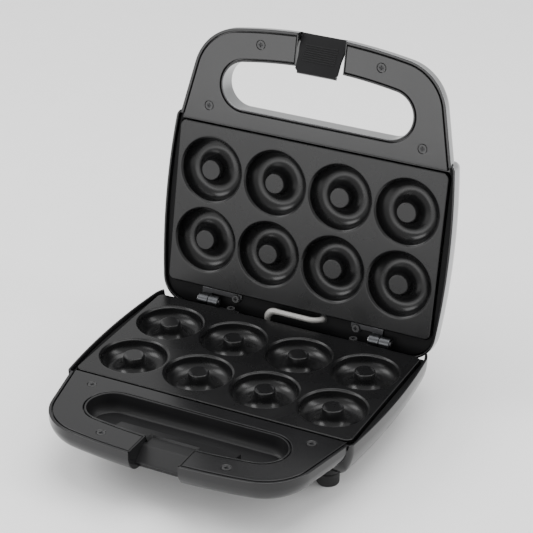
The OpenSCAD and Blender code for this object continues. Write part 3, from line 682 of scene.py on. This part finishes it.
def latch():
    """Drawn in (x, z) with y outwards from the pin, then stood up and leaned to its rest."""
    b = Build()
    half, foot, length = LATCH_HALF, LATCH_FOOT, LATCH_LEN
    left = [(-half, 2.6), (-half, -8), (-foot, -16), (-foot, -length + 3), (-foot + 3, -length)]
    block(b, left + mirrored(left), LATCH_BACK, LATCH_FRONT, 0.55)
    for k in range(8):
        y = -6.4 - 1.7 * k
        block(b, rectangle(-RIB_HALF, RIB_HALF, y - 0.5, y + 0.5), 3.9, 4.72, 0.35)
    ear = arc(0, 0, 3.4, -90, 90, 14) + [(-3.9, 2.6), (-3.9, -3.4)]
    sideways = Matrix(((0, 0, 1, 0), (0, 1, 0, 0), (-1, 0, 0, 0), (0, 0, 0, 1)))
    for x0, x1 in ((half - EAR_W, half), (-half, EAR_W - half)):
        block(b, ear, x0, x1, 0.4, sideways)
    block(b, rectangle(1.5 - foot, foot - 1.5, -length, 2.3 - length), -1.2, 3.2, 0.9)
    place = (LID_CLOSED @ Matrix.Translation((0, LATCH_Y, LATCH_Z))
             @ Matrix.Rotation(math.radians(LATCH_LEAN), 4, "X") @ Matrix.Rotation(math.radians(90), 4, "X"))
    finish("latch_skin", b, place, "latch", LATCH, "latch")


# ------------------------------------------------------------------ hinges
KNUCKLE_R, KNUCKLE_L, KNUCKLE_GAP, PIN_R = 4.5, 8.4, 0.2, 2.1
SPLITS = {"left": -73.2, "right": 74.2}       # x between a hinge's two knuckles
# each hinge half: body, matrix, strap outline in (y, z), leaf (inner x, y range, z range),
# screw pad (x, y, radius, z range)
HINGE_HALVES = (
    ("base", BASE, [(70.5, -7.6), (76.6, -7.6)] + arc(HINGE_Y, HINGE_Z, KNUCKLE_R, -69.2, 180, 40),
     (47.8, 68.9, 76.6, -7.6, -5.6), (52.8, 72.5, 3.6, -6.0, -3.6)),
    ("lid", LID_CLOSED, [(66.4, 3.2)] + arc(HINGE_Y, HINGE_Z, KNUCKLE_R, 114.3, 433.6, 48)
     + [(73.8, 5.2), (66.4, 5.2)],
     (47.4, 66.4, 70.3, 3.2, 5.2), (51.9, 70.1, 3.7, 3.2, 5.2)),
)


def knuckle_start(body, split):
    return split + KNUCKLE_GAP if body == "base" else split - KNUCKLE_GAP - KNUCKLE_L


def hinges():
    for where, split in SPLITS.items():
        for body, matrix, strap, _, _ in HINGE_HALVES:
            b, x0 = Build(), knuckle_start(body, split)
            block(b, strap, x0, x0 + KNUCKLE_L, 0.35, ALONG_X, circle(HINGE_Y, HINGE_Z, PIN_R, 32))
            finish(body + "_knuckle_" + where, b, matrix, body, KNUCKLE,
                   body + "_hinge_" + where)
        sign = 1 if split > 0 else -1
        for body, matrix, _, (leaf_x, y0, y1, z0, z1), (pad_x, pad_y, pad_r, pad_z0, pad_z1) in HINGE_HALVES:
            b, x0 = Build(), knuckle_start(body, split)
            ends = sorted((sign * leaf_x, x0 + KNUCKLE_L if sign > 0 else x0))
            block(b, rectangle(*ends, y0, y1), z0, z1, 0.3)
            block(b, circle(sign * pad_x, pad_y, pad_r, 36), pad_z0, pad_z1, 0.3)
            # the leaves take the darker steel: painted shade, not a different finish
            finish(body + "_leaf_" + where, b, matrix, body, LEAF_SHADE_STEEL)


# ------------------------------------------------------------------ feet
def feet():
    for where, (x, y) in FEET.items():
        z0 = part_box("foot_" + where)[0][2] / MM - SHIFT.z
        z1 = FOOT_SEAT
        b = Build()
        turned(b, [(0.1, z0 + 1.2), (3.2, z0 + 1.2), (3.5, z0), (7.3, z0), (8.0, z0 + 0.2), (8.4, z0 + 0.9),
                   (8.5, z0 + 2.0), (8.4, z1 - 1.1), (8.0, z1 - 0.4), (7.4, z1 - 0.05), (0.1, z1 - 0.05)],
               x, y, 48)
        finish("foot_" + where + "_skin", b, BASE, "base", RUBBER, "foot_" + where, angle=40)


# ------------------------------------------------------------------ wire sleeve
SLEEVE_R, STRANDS, WEAVE_MM = 2.19, 14, 0.085
SWELL, SWELL_AT, SWELL_SPREAD = 0.6, 16, 5.5  # it is thickest where it comes out of the base
SLEEVE_X, SLEEVE_Y, RUN_Z, RUN_END = -20.5, 72.4, 5.0, 14.3
BASE_BEND, LID_BEND = 7.0, 9.0


def sleeve_path():
    """Centre line in the working frame: up out of the base, along the hinge line, back into the lid."""
    start_z = RUN_Z - BASE_BEND
    pts = [Vector((SLEEVE_X, SLEEVE_Y, z)) for z in (-13.0, -9.0, -5.5, start_z)]
    pts += [Vector((x, SLEEVE_Y, z)) for x, z in
            arc(SLEEVE_X + BASE_BEND, start_z, BASE_BEND, 180, 90, 10, 1)]
    run = SLEEVE_X + BASE_BEND
    pts += [Vector((run + (RUN_END - run) * k / 12, SLEEVE_Y, RUN_Z)) for k in range(1, 13)]
    tilt = math.radians(OPEN_DEG - 90)
    into_lid = [(RUN_END + LID_BEND * s, LID_BEND * (1 - c)) for c, s in quarter(10, 1)]
    into_lid += [(RUN_END + LID_BEND, LID_BEND + 8.5 * k / 6) for k in range(1, 7)]
    return pts + [Vector((x, SLEEVE_Y + back * math.cos(tilt), RUN_Z - back * math.sin(tilt)))
                  for x, back in into_lid]


def wire_sleeve():
    path = sleeve_path()
    lengths = [0.0]
    for a, b in zip(path, path[1:]):
        lengths.append(lengths[-1] + (b - a).length)
    steps, around = 240, 40
    columns = [[] for _ in range(around)]
    side = Vector((0, 1, 0))
    prev_t = None
    for s in range(steps + 1):
        want = lengths[-1] * s / steps
        k = max(i for i in range(len(lengths)) if lengths[i] <= want + 1e-9)
        k = min(k, len(path) - 2)
        u = (want - lengths[k]) / (lengths[k + 1] - lengths[k])
        p = path[k].lerp(path[k + 1], u)
        t0 = (path[k + 1] - path[k]).normalized()
        t1 = (path[min(k + 2, len(path) - 1)] - path[min(k + 1, len(path) - 2)]).normalized()
        t = t0.lerp(t1, u).normalized()
        if prev_t is not None:
            side = prev_t.rotation_difference(t) @ side
        prev_t = t
        side = (side - t * side.dot(t)).normalized()
        other = t.cross(side)
        swell = SWELL * math.exp(-((want - SWELL_AT) / SWELL_SPREAD) ** 2)
        for j in range(around):
            a = 2 * math.pi * j / around
            weave = WEAVE_MM * math.sin(STRANDS * a + want * 5.2) * math.sin(STRANDS * a - want * 5.2)
            r = SLEEVE_R + weave + swell
            columns[j].append(tuple(p + side * (r * math.cos(a)) + other * (r * math.sin(a)) + SHIFT))
    b = Build()
    b.add(*loft(columns, closed=True))
    for end in (0, -1):
        b.add([c[end] for c in columns], [tuple(range(around))])
    obj = smooth_object("wire_sleeve_skin", [Vector(v) * MM for v in b.verts], b.faces, BRAID,
                        merge=False)
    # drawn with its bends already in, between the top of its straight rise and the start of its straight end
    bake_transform(obj)
    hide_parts("wire_sleeve")


# ------------------------------------------------------------------ stage, light and camera
WORLD_POWER, FLOOR_HALF = 1.0, 6.0
MIDDLE = (0.0, 0.0, 0.11)
LIGHTS = [                              # name, place, aim, size, power
    ("front_low", (-0.35, -1.15, 0.3), (0.0, 0.12, 0.2), (1.1, 0.5), 6),
    ("key_left", (-1.3, -0.5, 1.3), MIDDLE, (0.9, 0.9), 14),
    ("top_soft", (0.1, 0.3, 1.9), MIDDLE, (1.6, 1.6), 30),
    ("right_strip", (1.5, 0.3, 0.9), MIDDLE, (0.4, 1.4), 10),
]


def area_light(name, where, aim, size, power):
    data = bpy.data.lights.new(name, "AREA")
    data.shape = "RECTANGLE"
    data.size, data.size_y = size
    data.energy = power
    obj = bpy.data.objects.new(name, data)
    obj.location = where
    obj.rotation_euler = (Vector(aim) - Vector(where)).to_track_quat("-Z", "Y").to_euler()
    bpy.context.scene.collection.objects.link(obj)
    return obj


def stage():
    world = bpy.data.worlds.new("studio")
    world.use_nodes = True
    bpy.context.scene.world = world
    background = world.node_tree.nodes["Background"]
    background.inputs["Color"].default_value = (1, 1, 1, 1)
    background.inputs["Strength"].default_value = WORLD_POWER
    mesh = bpy.data.meshes.new("floor")
    corners = rectangle(-FLOOR_HALF, FLOOR_HALF, -FLOOR_HALF, FLOOR_HALF)
    mesh.from_pydata([(x, y, 0) for x, y in corners], [], [(0, 1, 2, 3)])
    floor = bpy.data.objects.new("floor", mesh)
    bpy.context.scene.collection.objects.link(floor)
    floor.data.materials.append(surface("pale_floor", (0.9, 0.9, 0.9), 0.7, mottle=0.01, grain=300))
    floor.location.z = first_bounds[0][2] - 0.0002
    [area_light(*spec) for spec in LIGHTS]


# the camera fitted to the photograph: degrees, and mm to a point in the plane of the base's plate
CAM_AZ, CAM_EL, CAM_ROLL, CAM_DIST, CAM_LENS = 25.95, 27.62, 0.57, 1688.4, 139.58
CAM_TARGET = Vector((-57.43, 145.56, 0)) + SHIFT


def camera():
    az, el, roll = (math.radians(v) for v in (CAM_AZ, CAM_EL, CAM_ROLL))
    back = Vector((math.sin(az) * math.cos(el), -math.cos(az) * math.cos(el), math.sin(el)))
    right = Vector((math.cos(az), math.sin(az), 0))
    up = back.cross(right)
    r = right * math.cos(roll) + up * math.sin(roll)
    u = -right * math.sin(roll) + up * math.cos(roll)
    data = bpy.data.cameras.new("photo_camera")
    data.sensor_width = 36
    data.lens = CAM_LENS
    data.clip_end = 50
    obj = bpy.data.objects.new("photo_camera", data)
    where = (CAM_TARGET + back * CAM_DIST) * MM
    obj.matrix_world = Matrix(((r.x, u.x, back.x, where.x), (r.y, u.y, back.y, where.y),
                               (r.z, u.z, back.z, where.z), (0, 0, 0, 1)))
    bpy.context.scene.collection.objects.link(obj)
    bpy.context.scene.camera = obj


for side_name in ("base", "lid"):
    shell(side_name)
    trim(side_name)
    plate(side_name)
latch()
hinges()
feet()
wire_sleeve()
stage()
camera()
